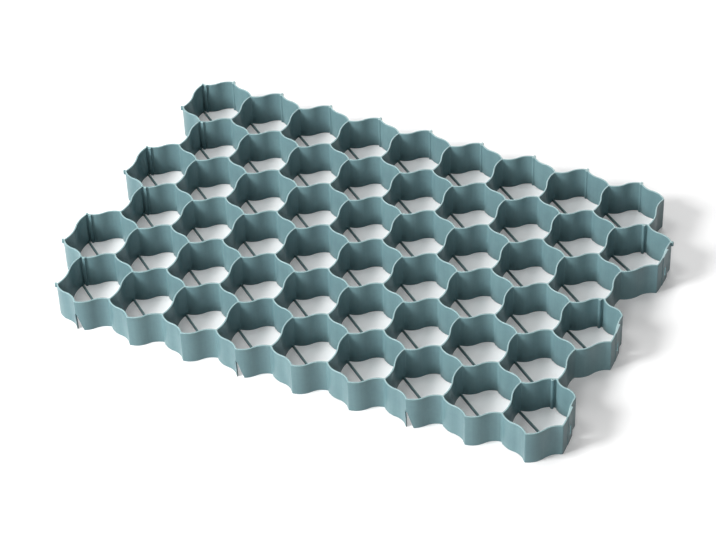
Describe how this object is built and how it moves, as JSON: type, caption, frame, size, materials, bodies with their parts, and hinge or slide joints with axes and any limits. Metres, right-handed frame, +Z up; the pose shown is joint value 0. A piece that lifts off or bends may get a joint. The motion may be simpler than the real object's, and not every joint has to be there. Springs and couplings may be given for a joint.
{
  "type": "grass paver grid",
  "caption": "Moulded plastic honeycomb tile of open cells with waved walls, laid side by side and filled with soil and turf or gravel to carry traffic.",
  "frame": {"origin": "centre of the footprint's bounding box, on the underside", "axes": "+X along the rows of cells, +Y from the front row to the back row, +Z up"},
  "size_m": [0.6336, 0.4424, 0.04],
  "materials": {
    "moulded_plastic": "satin moulded polyolefin, muted blue-green"
  },
  "bodies": {
    "root": {"grass_paver_grid": "moulded_plastic"}
  },
  "joints": []
}
